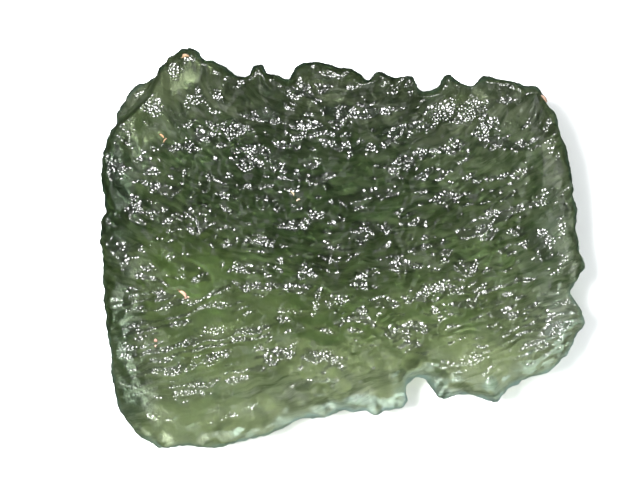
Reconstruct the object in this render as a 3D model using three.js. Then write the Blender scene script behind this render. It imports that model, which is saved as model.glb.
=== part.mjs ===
// Raw tektite: a flat-lying flake of natural green glass with a sculpted skin.
// Millimetres, +Z up. The origin is under the middle of the bounding box, on the table.
import * as THREE from "three";

// driving dimensions
const TOP_LIMIT = 7.8;         // no point of the skin is higher than this
const TOP_SOFTNESS = 0.4;      // height over which the highest ridges are rounded off
const TOP_MIDDLE = 5.9;        // height of the upper face near the middle
const TOP_TILT_X = -0.05;      // the upper face falls towards the right
const TOP_TILT_Y = 0.06;       // and towards the bottom edge
const EDGE_SWELL = 0.55;       // 0.5 is a round edge, 1 a flat bevel
const UNDERSIDE_GAP = 0.4;     // height of the underside where it does not touch the table
const THINNEST = 1;            // least thickness away from the rim
const LEAST_RISE = 0.7;        // and least height of the upper face above it
const RIDGE_STEEP = 0.42;      // width of the steep flank of a ridge
const RIDGE_GENTLE = 0.95;     // width of the gentle flank of a ridge
const RIDGE_END = 0.45;        // length over which a ridge fades at both ends
const COLUMNS = 60;            // cells of the upper face from left to right
const ROWS = 56;               // and from bottom to top
const RIM_INSET = 0.35;        // share of the outer cell taken by the extra ring along the rim
const RELAX_SWEEPS = 260;      // passes that even out the grid

// outline seen from above, one list per side, each read from left to right or bottom to top
const TOP_SIDE = [
  [-13.3, 9.95], [-12.65, 10.4], [-11.75, 10.75], [-11.35, 11.1], [-11, 11.45],
  [-10.85, 11.9], [-10.4, 12.15], [-9.85, 12.35], [-9.1, 12.35], [-8.8, 11.9],
  [-8.55, 11.65], [-8.2, 11.65], [-7.45, 11.3], [-7.05, 11], [-6.55, 10.75], [-5.95, 10.75],
  [-5.65, 11.25], [-5.3, 11.45], [-5, 11.4], [-4.8, 10.9], [-4.2, 10.85], [-3.45, 10.55],
  [-3.15, 10.9], [-3, 11.25], [-2.65, 11.45], [-1.75, 11.6], [-0.9, 11.35], [0.15, 11.25],
  [0.95, 10.9], [1.25, 10.6], [1.55, 10.55], [1.75, 10.75], [2.1, 10.95], [2.95, 10.7],
  [4.2, 10.7], [4.4, 10.3], [4.6, 9.85], [5.1, 9.75], [5.55, 9.9], [5.95, 10.35],
  [6.05, 10.6], [6.4, 10.8], [6.85, 10.5], [7.9, 10.2], [8.5, 10.65], [9.15, 10.7],
  [10.25, 10.5], [11.15, 10.2], [11.75, 10.15], [12.1, 9.9],
];
const RIGHT_SIDE = [
  [14.95, -4.5], [14.6, -3.5], [14.25, -2.95], [14.05, -2.55], [14.6, -1.55], [14.85, -0.95],
  [14.6, 0], [14.4, 1], [14.35, 1.85], [14.45, 2.45], [14.2, 3.3], [14.05, 4.7], [13.75, 6.2],
  [13.4, 7.15], [13.2, 7.85], [12.95, 8.5], [12.45, 9.3], [12.1, 9.9],
];
const BOTTOM_SIDE = [
  [-13, -11.2], [-12.3, -11.7], [-11.35, -12.3], [-10.4, -12.2], [-9.6, -12.15],
  [-8.55, -12.25], [-7.5, -12.15], [-6.5, -11.9], [-4.4, -11.3], [-3.4, -10.85],
  [-2.45, -10.45], [-1.3, -10.4], [-0.8, -10.2], [-0.05, -9.85], [0.6, -10.05],
  [1.35, -9.95], [1.9, -10.25], [2.75, -9.95], [3.6, -9.75], [3.95, -9.3], [3.85, -8.9],
  [3.95, -8.25], [4.55, -7.85], [5.2, -8], [5.45, -8.55], [5.85, -9], [6.5, -9.1],
  [7.35, -9], [8.35, -9.1], [9.1, -9.4], [9.5, -9.4], [10.1, -8.7], [11.65, -7.85],
  [12.6, -7.55], [13.4, -6.9], [14.1, -6], [14.7, -5.05], [14.95, -4.5],
];
const LEFT_SIDE = [
  [-13, -11.2], [-13.75, -10.25], [-14, -9.6], [-14.15, -8.7], [-14.4, -7.45], [-14.45, -6],
  [-14.7, -4.75], [-14.8, -3.45], [-14.8, -2.6], [-14.9, -1.7], [-14.8, -1], [-15, 0.3],
  [-14.9, 2.1], [-14.7, 2.45], [-14.7, 2.95], [-14.9, 4], [-14.9, 5.65], [-14.55, 7.3],
  [-14.2, 7.95], [-14.2, 8.35], [-13.8, 9.15], [-13.3, 9.95],
];

// every 30 degrees around the outline, starting at +X:
// height of the rim, and over which width the upper face and the underside round to it
const RIM_HEIGHT = [2.8, 3.2, 3.6, 3.8, 3.6, 2.2, 3.2, 2.8, 2.2, 1.9, 1.9, 2.2];
const BEVEL_WIDTH = [1.0, 1.0, 1.1, 1.1, 1.0, 0.8, 0.8, 1.2, 2.4, 2.4, 1.8, 1.3];
const UNDERSIDE_BEVEL = [2.6, 2.4, 2.4, 2.4, 2.4, 2.4, 2.6, 3.0, 3.6, 3.6, 3.2, 2.8];
const RIM_WAVE = 2.2;          // share of the slow waves that lifts and lowers the rim
const BEVEL_WAVE = 1.3;        // and that widens and narrows the upper bevel

// broad swells and hollows of the upper face: x, y, radius along x, radius along y, height
const SWELLS = [
  [-3, 4.5, 6, 5, 0.8], [-4, -10, 9, 3.5, -1.1], [13, 1, 3, 9, -0.5],
  [-9.8, 9.4, 2.2, 1.8, 0.35], [-10.6, -0.3, 1.7, 1.9, 0.55], [-3, -3.3, 2.4, 0.7, 0.4],
  [10.2, 6.5, 2.6, 1.6, 0.35], [6.5, -4.6, 3.6, 1.6, 0.4], [-9.6, -7, 3.2, 1.6, 0.45],
  [0.6, -6.6, 3.6, 1.3, 0.35], [10.6, -0.4, 2, 1.6, 0.4], [-4.9, 8.9, 0.8, 0.8, -0.75],
  [-6, 8.7, 0.5, 0.5, -0.45], [-7.7, -4.4, 1.3, 0.9, -0.75], [12.1, 4.2, 0.8, 1.3, -0.45],
  [0.8, 4, 1, 0.6, -0.5], [1.9, 5, 0.7, 0.6, -0.45], [-2.2, 8.2, 0.6, 0.9, -0.4],
  [4.3, 7.8, 0.9, 0.5, -0.4], [-5.1, -0.5, 2.6, 0.5, -0.45], [7, 2, 1.5, 0.6, -0.35],
  [-0.5, -2.6, 0.8, 0.5, -0.4], [7.2, 9.4, 1.5, 1, -0.6], [5, 8.9, 1, 0.6, -0.5],
  [-13.4, 0.2, 0.7, 0.7, -0.35], [5.1, -6.5, 0.8, 1.4, -0.5], [2.9, -9.1, 1, 0.9, -1.1],
  [-5.6, -11.1, 2.6, 0.5, -0.7], [12, -2.8, 1.4, 1.6, -0.35],
];

// thin flange outside the step that crosses the upper left corner
const FLANGE_STEP = [
  [-15.4, 5.2], [-13.9, 7.7], [-12.6, 8.8], [-11.9, 9.6], [-11.5, 10.7], [-11.3, 11.6],
];
const FLANGE_TOP = 3.8;
const FLANGE_WAVE = 0.8;       // share of the slow waves on the flange

// ridges of the upper face: x and y of both ends, height
const RIDGES = [
  // upper left
  [-9.6, 7.3, -8.4, 6.8, 0.35], [-8.9, 6.2, -7.6, 6.2, 0.3], [-12.6, 5.9, -11.4, 5.6, 0.35],
  [-10.7, 5.9, -9.4, 5.9, 0.3], [-14.4, 4.9, -13.1, 4.8, 0.25], [-10.4, 4.4, -9.4, 4.4, 0.4],
  [-6.9, 6.9, -5.8, 6.8, 0.25], [-12.3, 4.2, -11.4, 4.2, 0.3], [-12.1, 3.4, -10.2, 3.5, 0.35],
  // upper middle
  [-1.1, 8.3, 0.4, 8, 0.35], [1.6, 8.1, 2.8, 8.1, 0.35], [-2.5, 9.5, -1.6, 9.4, 0.3],
  [2.2, 6.8, 3.4, 6.9, 0.35], [-1.1, 6.2, 0.1, 5.6, 0.4], [0.9, 5.8, 2.4, 5.8, 0.3],
  [-2.4, 5, -1.5, 5.1, 0.3], [-1.1, 4.3, -0.1, 4.4, 0.35], [0.1, 4.2, 1.2, 4.6, 0.3],
  [2.5, 4.7, 4.4, 5, 0.4], [4.4, 7.4, 5.2, 7.6, 0.25], [4.7, 5.6, 6.9, 6.2, 0.45],
  [4.6, 4.2, 6.6, 4.6, 0.35], [-3.4, 6.9, -2.7, 7.1, 0.25], [-3.4, 6.1, -2.6, 6.1, 0.25],
  // upper right
  [8.9, 8.6, 9.9, 8.8, 0.35], [8.5, 6.2, 11.4, 6.1, 0.5], [8.1, 4.1, 11.2, 4.3, 0.45],
  [9.4, 3.2, 11.2, 3.3, 0.3], [12.2, 4.4, 12.8, 4.6, 0.25],
  // left
  [-8.4, 3.8, -7.8, 2.9, 0.35], [-6.2, 3.6, -4.1, 2.1, 0.45], [-12.9, 2.7, -11.9, 2.6, 0.3],
  [-13, 1.8, -10.7, 1.6, 0.45], [-10.1, 1.9, -9.1, 1.6, 0.4], [-9.3, 0.8, -8.8, 0.8, 0.25],
  [-8.1, 0.1, -7.4, 0, 0.35], [-6.4, 0.4, -5.8, 0.2, 0.35], [-5.1, 0.6, -4.4, 0.3, 0.3],
  [-10.7, -0.7, -8.7, -1.8, 0.45], [-7.4, -1.2, -5.1, -1.7, 0.4], [-13.7, 0, -12.7, -0.1, 0.3],
  [-13.3, -1.4, -11.6, -1.8, 0.3], [-7.8, -2.6, -5.6, -2.6, 0.45], [-11.4, -3.2, -10.2, -3.4, 0.4],
  [-13.9, -2.8, -13, -2.8, 0.25], [-6.6, -3.7, -5.7, -4.2, 0.4],
  // middle
  [-4.1, 4.6, -1.6, 3.9, 0.45], [-1.8, 3.7, 0.2, 2.6, 0.45], [0.2, 2.6, 2.1, 3.4, 0.4],
  [2.7, 3, 3.8, 3.7, 0.4], [1.7, 2.8, 2.4, 3.1, 0.25], [-3.8, 1.4, -2.3, 0.8, 0.4],
  [-2, 1.8, -1.3, 1.8, 0.25], [-0.9, 1.4, 0.3, 1.4, 0.3], [1.2, 0.8, 2.6, 0.9, 0.3],
  [-0.8, 0.2, 0.4, 0.2, 0.3], [-4.9, -0.2, -3.8, -0.4, 0.35], [-0.7, -0.6, 0.2, -0.8, 0.3],
  [0.2, -0.7, 1.1, -0.2, 0.3], [-1.7, -1.3, -0.3, -1.3, 0.35], [0.9, -1.8, 2.5, -2, 0.35],
  [2.4, -1.2, 3.6, -1.7, 0.35], [3.8, -1.1, 4.9, -1.4, 0.35], [3.2, 1.6, 3.9, 0.7, 0.3],
  [4.3, 1.5, 5.4, 1.2, 0.35], [4.1, -0.1, 4.7, -0.1, 0.25], [0.4, -2.2, 2.2, -3.1, 0.45],
  [-4.7, -2.6, -2.6, -2.6, 0.4], [-0.6, -3.5, 0.1, -3.2, 0.25],
  // right
  [4.2, 3.1, 6.1, 3, 0.3], [6.2, 2.5, 7.1, 2.1, 0.3], [7.1, 3, 7.9, 2.3, 0.35],
  [8.1, 1.8, 8.9, 1.9, 0.3], [9.9, 1.8, 11.6, 2.6, 0.45], [7.2, 0.6, 9.2, 0.8, 0.45],
  [6.4, 0.2, 7.4, 0.4, 0.3], [9.2, 0.1, 10.1, -0.4, 0.3], [10.4, 0.8, 11.8, 0.7, 0.3],
  [11, 0, 11.7, 0, 0.25], [7.5, -1.2, 8.5, -1.2, 0.3], [9.8, -1.5, 11.4, -1.8, 0.4],
  [8.6, -2.1, 9.9, -2.3, 0.35], [5.6, -0.1, 7.5, -1.6, 0.45], [11.3, -0.9, 12.4, -0.4, 0.3],
  // lower left
  [-5.1, -7.4, -4.5, -6.3, 0.3], [-12.2, -9.2, -8.3, -8.6, 0.35], [-8.3, -8.6, -5.1, -7.6, 0.35],
  [-13.3, -3.8, -11.6, -3.4, 0.3], [-12.6, -5.2, -9.8, -4.6, 0.3], [-12.4, -6.6, -8.6, -5.8, 0.3],
  [-12.4, -7.9, -6.4, -6.7, 0.3], [-6.6, -5.6, -4.6, -5, 0.3],
  // lower middle
  [1.4, -3.9, 3.7, -3.4, 0.5], [-3.8, -4.4, -1.9, -4.2, 0.45], [-1.9, -4.2, -0.6, -3.6, 0.35],
  [-1.4, -4.9, -0.6, -4.8, 0.3], [-0.2, -4.4, 0.5, -4.4, 0.3], [0.9, -4.3, 2.5, -5.2, 0.4],
  [3.1, -5.3, 4.2, -4.9, 0.4], [4.4, -5, 5.4, -4.8, 0.4], [-2.3, -6.8, -0.9, -6.8, 0.45],
  [-4.1, -6.6, -3.1, -6.6, 0.3], [-4.2, -5.8, -2.7, -5.7, 0.25], [3.8, -6, 4.6, -5.8, 0.25],
  // lower right
  [5.1, -2.8, 7.4, -2.7, 0.45], [7.7, -2.8, 9.2, -3, 0.35], [5.5, -3.9, 7.5, -3.6, 0.45],
  [7.5, -3.6, 8.7, -3.7, 0.35], [9.2, -4.2, 10.6, -4.1, 0.4], [4.4, -3.2, 5.2, -3.1, 0.25],
  [6.6, -6, 7.4, -5.9, 0.2], [10.8, -6.7, 13.8, -4.9, 0.35],
];

// slow waves that keep every face uneven: waves per mm along x and y, phase, height
const WAVES = [
  [0.11, 0.19, 0.4, 0.16], [-0.23, 0.15, 2.1, 0.13], [0.31, 0.27, 4.4, 0.09],
  [0.17, -0.39, 1.2, 0.08], [-0.46, -0.21, 3.3, 0.06], [0.52, -0.33, 5.6, 0.05],
];

// swells and hollows of the underside, with the wide hollows that thin the lower and right parts,
// and the four patches it rests on
const UNDERSIDE_SWELLS = [
  [-5.5, -1.5, 1.6, 1.1, 0.45], [4.6, 4.4, 1.8, 1.2, 0.4], [-3.5, 5.8, 1.9, 1.3, 0.4],
  [5.4, -4.2, 1.8, 1.3, 0.45], [-8.5, 6.5, 1.5, 1.1, 0.4], [11.3, -2.2, 1.3, 1.6, 0.35],
  [-5, -6.5, 9, 4.3, 2.6], [7, -6.5, 9, 4, 2], [12, 0, 3, 7, 0.9], [-8.5, -10, 3, 1.5, 0.5],
];
const CONTACTS = [[0, -1.5, 2.7], [-9.4, 1.6, 2], [9.2, 2.4, 2], [-2.5, 7.5, 2.2]];
const CONTACT_DEPTH = 1.3;

const STONE_COLOR = 0x55693f;
const STONE_ROUGHNESS = 0.28;

function smoothStep(low, high, value) {
  const t = Math.min(Math.max((value - low) / (high - low), 0), 1);
  return t * t * (3 - 2 * t);
}

// value of a list of stations spaced evenly around the outline, in the direction of a point
function aroundOutline(stations, x, y) {
  const turn = (Math.atan2(y, x) / (2 * Math.PI) + 1) % 1;
  const place = turn * stations.length;
  const before = Math.floor(place) % stations.length;
  const after = (before + 1) % stations.length;
  const blend = smoothStep(0, 1, place - Math.floor(place));
  return stations[before] + (stations[after] - stations[before]) * blend;
}

function waves(x, y) {
  let sum = 0;
  for (const [perX, perY, phase, height] of WAVES) {
    sum += height * Math.sin(2 * Math.PI * (perX * x + perY * y) + phase);
  }
  return sum;
}

function swells(list, x, y) {
  let sum = 0;
  for (const [cx, cy, rx, ry, height] of list) {
    sum += height * Math.exp(-(((x - cx) / rx) ** 2) - ((y - cy) / ry) ** 2);
  }
  return sum;
}

// place of a point against a segment: distance along it, distance to its left, length
function againstSegment(x, y, x0, y0, x1, y1) {
  const length = Math.hypot(x1 - x0, y1 - y0);
  const ux = (x1 - x0) / length;
  const uy = (y1 - y0) / length;
  const along = (x - x0) * ux + (y - y0) * uy;
  const left = (y - y0) * ux - (x - x0) * uy;
  return [along, left, length];
}

function distanceToSegment(x, y, a, b) {
  const [along, left, length] = againstSegment(x, y, a[0], a[1], b[0], b[1]);
  const beyond = Math.max(-along, along - length, 0);
  return Math.hypot(beyond, left);
}

// a ridge has a steep flank on its upper side, a groove above that and a gentle flank below
function ridges(x, y) {
  let sum = 0;
  for (const [x0, y0, x1, y1, height] of RIDGES) {
    const [along, left, length] = againstSegment(x, y, x0, y0, x1, y1);
    const beyond = Math.max(-along, along - length, 0);
    if (beyond > 2 * RIDGE_END || Math.abs(left) > 2.5) {
      continue;
    }
    const fade = Math.exp(-((beyond / RIDGE_END) ** 2));
    const width = left > 0 ? RIDGE_STEEP : RIDGE_GENTLE;
    const crest = Math.exp(-((left / width) ** 2));
    const groove = 0.55 * Math.exp(-(((left - 2 * RIDGE_STEEP) / RIDGE_STEEP) ** 2));
    sum += height * fade * (crest - groove);
  }
  return sum;
}

// distance outside the step of the corner flange, negative on the body
function outsideFlangeStep(x, y) {
  let nearest = Infinity;
  let side = -1;
  for (let k = 0; k + 1 < FLANGE_STEP.length; k += 1) {
    const distance = distanceToSegment(x, y, FLANGE_STEP[k], FLANGE_STEP[k + 1]);
    if (distance < nearest) {
      nearest = distance;
      const [x0, y0] = FLANGE_STEP[k];
      const [x1, y1] = FLANGE_STEP[k + 1];
      side = againstSegment(x, y, x0, y0, x1, y1)[1] > 0 ? 1 : -1;
    }
  }
  return nearest * side;
}

function rimHeight(x, y) {
  return aroundOutline(RIM_HEIGHT, x, y) + RIM_WAVE * waves(1.3 * y, 1.3 * x);
}

function upperHeight(x, y, edgeDistance) {
  const rim = rimHeight(x, y);
  const bevel = aroundOutline(BEVEL_WIDTH, x, y) * (1 + BEVEL_WAVE * waves(2 * x, 2 * y));
  const inward = Math.min(edgeDistance / bevel, 1);
  const rounding = (1 - (1 - inward) ** 2) ** EDGE_SWELL;
  const relief = ridges(x, y) * smoothStep(0, 0.4, edgeDistance);
  let face = TOP_MIDDLE + TOP_TILT_X * x + TOP_TILT_Y * y + swells(SWELLS, x, y) + waves(x, y);
  const onFlange = smoothStep(-0.25, 0.5, outsideFlangeStep(x, y));
  face += (FLANGE_TOP + FLANGE_WAVE * waves(x, y) - face) * onFlange;
  const rise = Math.max(face - rim, LEAST_RISE);
  const height = rim + rise * rounding + relief * (1 - onFlange);
  const over = Math.max(height - (TOP_LIMIT - TOP_SOFTNESS), 0);
  return height - over + TOP_SOFTNESS * (1 - Math.exp(-over / TOP_SOFTNESS));
}

function lowerHeight(x, y, edgeDistance) {
  const rim = rimHeight(x, y);
  const inward = Math.min(edgeDistance / aroundOutline(UNDERSIDE_BEVEL, x, y), 1);
  const rise = rim * (1 - Math.sqrt(1 - (1 - inward) ** 2));
  let height = UNDERSIDE_GAP + swells(UNDERSIDE_SWELLS, x, y) + 0.6 * waves(y, -x);
  for (const [cx, cy, radius] of CONTACTS) {
    height -= CONTACT_DEPTH * Math.exp(-(((x - cx) ** 2 + (y - cy) ** 2) / radius ** 2));
  }
  height = Math.max(height, 0) * smoothStep(0, 1.2, edgeDistance);
  const ceiling = upperHeight(x, y, edgeDistance) - THINNEST * Math.min(edgeDistance, 1);
  return Math.min(rise + height, ceiling);
}

function sideSamples(points, cells) {
  const corners = points.map(([x, y]) => new THREE.Vector3(x, y, 0));
  const curve = new THREE.CatmullRomCurve3(corners, false, "centripetal");
  curve.arcLengthDivisions = 2000;
  return curve.getSpacedPoints(cells).map((point) => [point.x, point.y]);
}

// grid between four sides: opposite sides blended, then evened out by relaxing
function relaxedGrid() {
  const top = sideSamples(TOP_SIDE, COLUMNS);
  const bottom = sideSamples(BOTTOM_SIDE, COLUMNS);
  const left = sideSamples(LEFT_SIDE, ROWS);
  const right = sideSamples(RIGHT_SIDE, ROWS);
  const grid = [];
  for (let row = 0; row <= ROWS; row += 1) {
    const v = row / ROWS;
    const line = [];
    for (let column = 0; column <= COLUMNS; column += 1) {
      const u = column / COLUMNS;
      line.push([0, 1].map((axis) => (
        (1 - v) * bottom[column][axis] + v * top[column][axis]
        + (1 - u) * left[row][axis] + u * right[row][axis]
        - (1 - u) * (1 - v) * bottom[0][axis] - u * (1 - v) * bottom[COLUMNS][axis]
        - (1 - u) * v * top[0][axis] - u * v * top[COLUMNS][axis]
      )));
    }
    grid.push(line);
  }
  for (let sweep = 0; sweep < RELAX_SWEEPS; sweep += 1) {
    for (let row = 1; row < ROWS; row += 1) {
      for (let column = 1; column < COLUMNS; column += 1) {
        relaxPoint(grid, row, column);
      }
    }
  }
  return grid;
}

function relaxPoint(grid, row, column) {
  const east = grid[row][column + 1];
  const west = grid[row][column - 1];
  const north = grid[row + 1][column];
  const south = grid[row - 1][column];
  const across = [(east[0] - west[0]) / 2, (east[1] - west[1]) / 2];
  const up = [(north[0] - south[0]) / 2, (north[1] - south[1]) / 2];
  const alpha = up[0] ** 2 + up[1] ** 2;
  const beta = across[0] * up[0] + across[1] * up[1];
  const gamma = across[0] ** 2 + across[1] ** 2;
  grid[row][column] = [0, 1].map((axis) => {
    const twist = (grid[row + 1][column + 1][axis] - grid[row + 1][column - 1][axis]
      - grid[row - 1][column + 1][axis] + grid[row - 1][column - 1][axis]) / 4;
    const pull = alpha * (east[axis] + west[axis]) + gamma * (north[axis] + south[axis]);
    return (pull - 2 * beta * twist) / (2 * (alpha + gamma));
  });
}

function between(a, b, share) {
  return [a[0] + (b[0] - a[0]) * share, a[1] + (b[1] - a[1]) * share];
}

// one more point next to both ends of a line of points, so the rim can be round
function withRimPoints(line) {
  const last = line.length - 1;
  const afterStart = between(line[0], line[1], RIM_INSET);
  const beforeEnd = between(line[last], line[last - 1], RIM_INSET);
  return [line[0], afterStart, ...line.slice(1, last), beforeEnd, line[last]];
}

function turned(grid) {
  return grid[0].map((_, column) => grid.map((line) => line[column]));
}

function stoneGeometry() {
  const wide = relaxedGrid().map(withRimPoints);
  const plan = turned(turned(wide).map(withRimPoints));
  const lastRow = plan.length - 1;
  const lastColumn = plan[0].length - 1;
  const outline = [
    ...plan[0],
    ...plan.slice(1).map((line) => line[lastColumn]),
    ...plan[lastRow].slice(0, lastColumn).reverse(),
    ...plan.slice(1, lastRow).map((line) => line[0]).reverse(),
  ];

  function edgeDistance(x, y) {
    let nearest = Infinity;
    for (let k = 0; k < outline.length; k += 1) {
      const distance = distanceToSegment(x, y, outline[k], outline[(k + 1) % outline.length]);
      nearest = Math.min(nearest, distance);
    }
    return nearest;
  }

  const positions = [];
  const upper = plan.map((line) => line.map(() => 0));
  const lower = plan.map((line) => line.map(() => 0));

  function addPoint(x, y, z) {
    positions.push(x, y, z);
    return positions.length / 3 - 1;
  }

  function gap(first, second) {
    const steps = [0, 1, 2].map((axis) => positions[3 * first + axis] - positions[3 * second + axis]);
    return Math.hypot(...steps);
  }

  for (let row = 0; row <= lastRow; row += 1) {
    for (let column = 0; column <= lastColumn; column += 1) {
      const [x, y] = plan[row][column];
      const onRim = row === 0 || column === 0 || row === lastRow || column === lastColumn;
      if (onRim) {
        upper[row][column] = addPoint(x, y, rimHeight(x, y));
        lower[row][column] = upper[row][column];
        continue;
      }
      const distance = edgeDistance(x, y);
      upper[row][column] = addPoint(x, y, upperHeight(x, y, distance));
      if (row % 2 === 0 && column % 2 === 0) {
        lower[row][column] = addPoint(x, y, lowerHeight(x, y, distance));
      }
    }
  }

  const faces = [];
  for (let row = 0; row < lastRow; row += 1) {
    for (let column = 0; column < lastColumn; column += 1) {
      const a = upper[row][column];
      const b = upper[row][column + 1];
      const c = upper[row + 1][column + 1];
      const d = upper[row + 1][column];
      if (gap(a, c) < gap(b, d)) {
        faces.push(a, b, c, a, c, d);
      } else {
        faces.push(a, b, d, b, c, d);
      }
    }
  }

  // the underside has cells twice as large, fanned out to every point of the rim
  for (let row = 0; row < lastRow; row += 2) {
    for (let column = 0; column < lastColumn; column += 2) {
      const ring = [lower[row][column]];
      const middles = [];
      const sides = [
        [row === 0, row, column + 1, row, column + 2],
        [column + 2 === lastColumn, row + 1, column + 2, row + 2, column + 2],
        [row + 2 === lastRow, row + 2, column + 1, row + 2, column],
        [column === 0, row + 1, column, row, column],
      ];
      for (const [onRim, middleRow, middleColumn, nextRow, nextColumn] of sides) {
        if (onRim) {
          middles.push(ring.length);
          ring.push(upper[middleRow][middleColumn]);
        }
        ring.push(lower[nextRow][nextColumn]);
      }
      ring.pop();
      let apex = 0;
      if (middles.length === 1) {
        apex = middles[0];
      } else if (middles.length === 2) {
        apex = insideCorner(row, column, ring, lower);
      }
      for (let k = 1; k + 1 < ring.length; k += 1) {
        const next = ring[(apex + k) % ring.length];
        const afterNext = ring[(apex + k + 1) % ring.length];
        faces.push(ring[apex], afterNext, next);
      }
    }
  }

  const geometry = new THREE.BufferGeometry();
  geometry.setAttribute("position", new THREE.Float32BufferAttribute(positions, 3));
  geometry.setIndex(faces);
  return geometry;
}

// place in the ring of the corner of a cell that lies farthest inside the stone
function insideCorner(row, column, ring, lower) {
  const insideRow = row === 0 ? row + 2 : row;
  const insideColumn = column === 0 ? column + 2 : column;
  return ring.indexOf(lower[insideRow][insideColumn]);
}

const geometry = stoneGeometry();
geometry.computeBoundingBox();
const box = geometry.boundingBox;
geometry.translate(-(box.min.x + box.max.x) / 2, -(box.min.y + box.max.y) / 2, -box.min.z);
geometry.computeVertexNormals();

const stone = new THREE.Mesh(geometry, new THREE.MeshStandardMaterial({
  color: STONE_COLOR,
  roughness: STONE_ROUGHNESS,
  metalness: 0,
}));
stone.name = "tektite";

const group = new THREE.Group();
group.name = "raw_tektite";
group.add(stone);

export default group;
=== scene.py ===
import math

import bmesh
import bpy
import numpy as np
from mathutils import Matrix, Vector


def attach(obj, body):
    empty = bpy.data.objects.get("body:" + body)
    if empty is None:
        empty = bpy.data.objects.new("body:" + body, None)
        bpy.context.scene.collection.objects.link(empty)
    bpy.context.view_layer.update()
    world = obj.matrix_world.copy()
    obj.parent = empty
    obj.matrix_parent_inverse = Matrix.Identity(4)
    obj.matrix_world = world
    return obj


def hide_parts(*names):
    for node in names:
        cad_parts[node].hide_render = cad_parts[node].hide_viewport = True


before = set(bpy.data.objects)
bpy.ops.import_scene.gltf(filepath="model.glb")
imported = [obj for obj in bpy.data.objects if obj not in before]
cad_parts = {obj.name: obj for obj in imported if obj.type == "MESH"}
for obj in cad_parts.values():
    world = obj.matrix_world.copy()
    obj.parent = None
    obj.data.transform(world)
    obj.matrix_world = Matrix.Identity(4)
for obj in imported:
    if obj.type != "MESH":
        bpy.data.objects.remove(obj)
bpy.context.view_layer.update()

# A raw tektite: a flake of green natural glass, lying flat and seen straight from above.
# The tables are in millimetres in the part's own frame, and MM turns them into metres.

MM = 0.001

# photograph
PHOTO_WIDTH_PX = 640
PHOTO_HEIGHT_PX = 480
PX_PER_MM = 16
STONE_MIDDLE_PX = (343, 250)
CAMERA_LENS = 150
SENSOR_WIDTH = 36
RIM_LEVEL = 2.3                # height at which the photograph's scale holds


def add_camera():
    """The photograph's view: straight down, a little beside the middle of the stone."""
    data = bpy.data.cameras.new("camera")
    data.lens = CAMERA_LENS
    data.sensor_width = SENSOR_WIDTH
    camera = bpy.data.objects.new("camera", data)
    distance = PHOTO_WIDTH_PX / PX_PER_MM * CAMERA_LENS / SENSOR_WIDTH
    across = (PHOTO_WIDTH_PX / 2 - STONE_MIDDLE_PX[0]) / PX_PER_MM
    up = (STONE_MIDDLE_PX[1] - PHOTO_HEIGHT_PX / 2) / PX_PER_MM
    camera.location = Vector((across, up, RIM_LEVEL + distance)) * MM
    data.clip_start = 0.1 * distance * MM
    data.clip_end = 10 * distance * MM
    bpy.context.collection.objects.link(camera)
    bpy.context.scene.camera = camera


add_camera()

# main form, close to the part's source but with a steeper rim
TOP_LIMIT = 7.8
TOP_SOFTNESS = 0.4
TOP_MIDDLE = 5.9
TOP_TILT_X = -0.05
TOP_TILT_Y = 0.06
EDGE_SWELL = 0.42
UNDERSIDE_GAP = 0.4
THINNEST = 1
LEAST_RISE = 0.7
RIDGE_STEEP = 0.42
RIDGE_GENTLE = 0.8
RIDGE_END = 0.45
RIDGE_SHARE = 0.7              # share of its height that a ridge has on the average
RIDGE_VARIES = 0.5             # and how much that varies along it
RIDGES_START = 0.4             # distance to the outline at which the ridges have their full height
RELIEF_STARTS = 0.2            # and at which the fine relief has it
FLANGE_RELIEF = 0.3            # share of the relief that the flange has

TOP_SIDE = [
    (-13.3, 9.95), (-12.65, 10.4), (-11.75, 10.75), (-11.35, 11.1), (-11, 11.45),
    (-10.85, 11.9), (-10.4, 12.15), (-9.85, 12.35), (-9.1, 12.35), (-8.8, 11.9),
    (-8.55, 11.65), (-8.2, 11.65), (-7.45, 11.3), (-7.05, 11), (-6.55, 10.75), (-5.95, 10.75),
    (-5.65, 11.25), (-5.3, 11.45), (-5, 11.4), (-4.8, 10.9), (-4.2, 10.85), (-3.45, 10.55),
    (-3.15, 10.9), (-3, 11.25), (-2.65, 11.45), (-1.75, 11.6), (-0.9, 11.35), (0.15, 11.25),
    (0.95, 10.9), (1.25, 10.6), (1.55, 10.55), (1.75, 10.75), (2.1, 10.95), (2.95, 10.7),
    (4.2, 10.7), (4.4, 10.3), (4.6, 9.85), (5.1, 9.75), (5.55, 9.9), (5.95, 10.35),
    (6.05, 10.6), (6.4, 10.8), (6.85, 10.5), (7.9, 10.2), (8.5, 10.65), (9.15, 10.7),
    (10.25, 10.5), (11.15, 10.2), (11.75, 10.15), (12.1, 9.9),
]
RIGHT_SIDE = [
    (14.95, -4.5), (14.6, -3.5), (14.25, -2.95), (14.05, -2.55), (14.6, -1.55), (14.85, -0.95),
    (14.6, 0), (14.4, 1), (14.35, 1.85), (14.45, 2.45), (14.2, 3.3), (14.05, 4.7), (13.75, 6.2),
    (13.4, 7.15), (13.2, 7.85), (12.95, 8.5), (12.45, 9.3), (12.1, 9.9),
]
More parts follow.
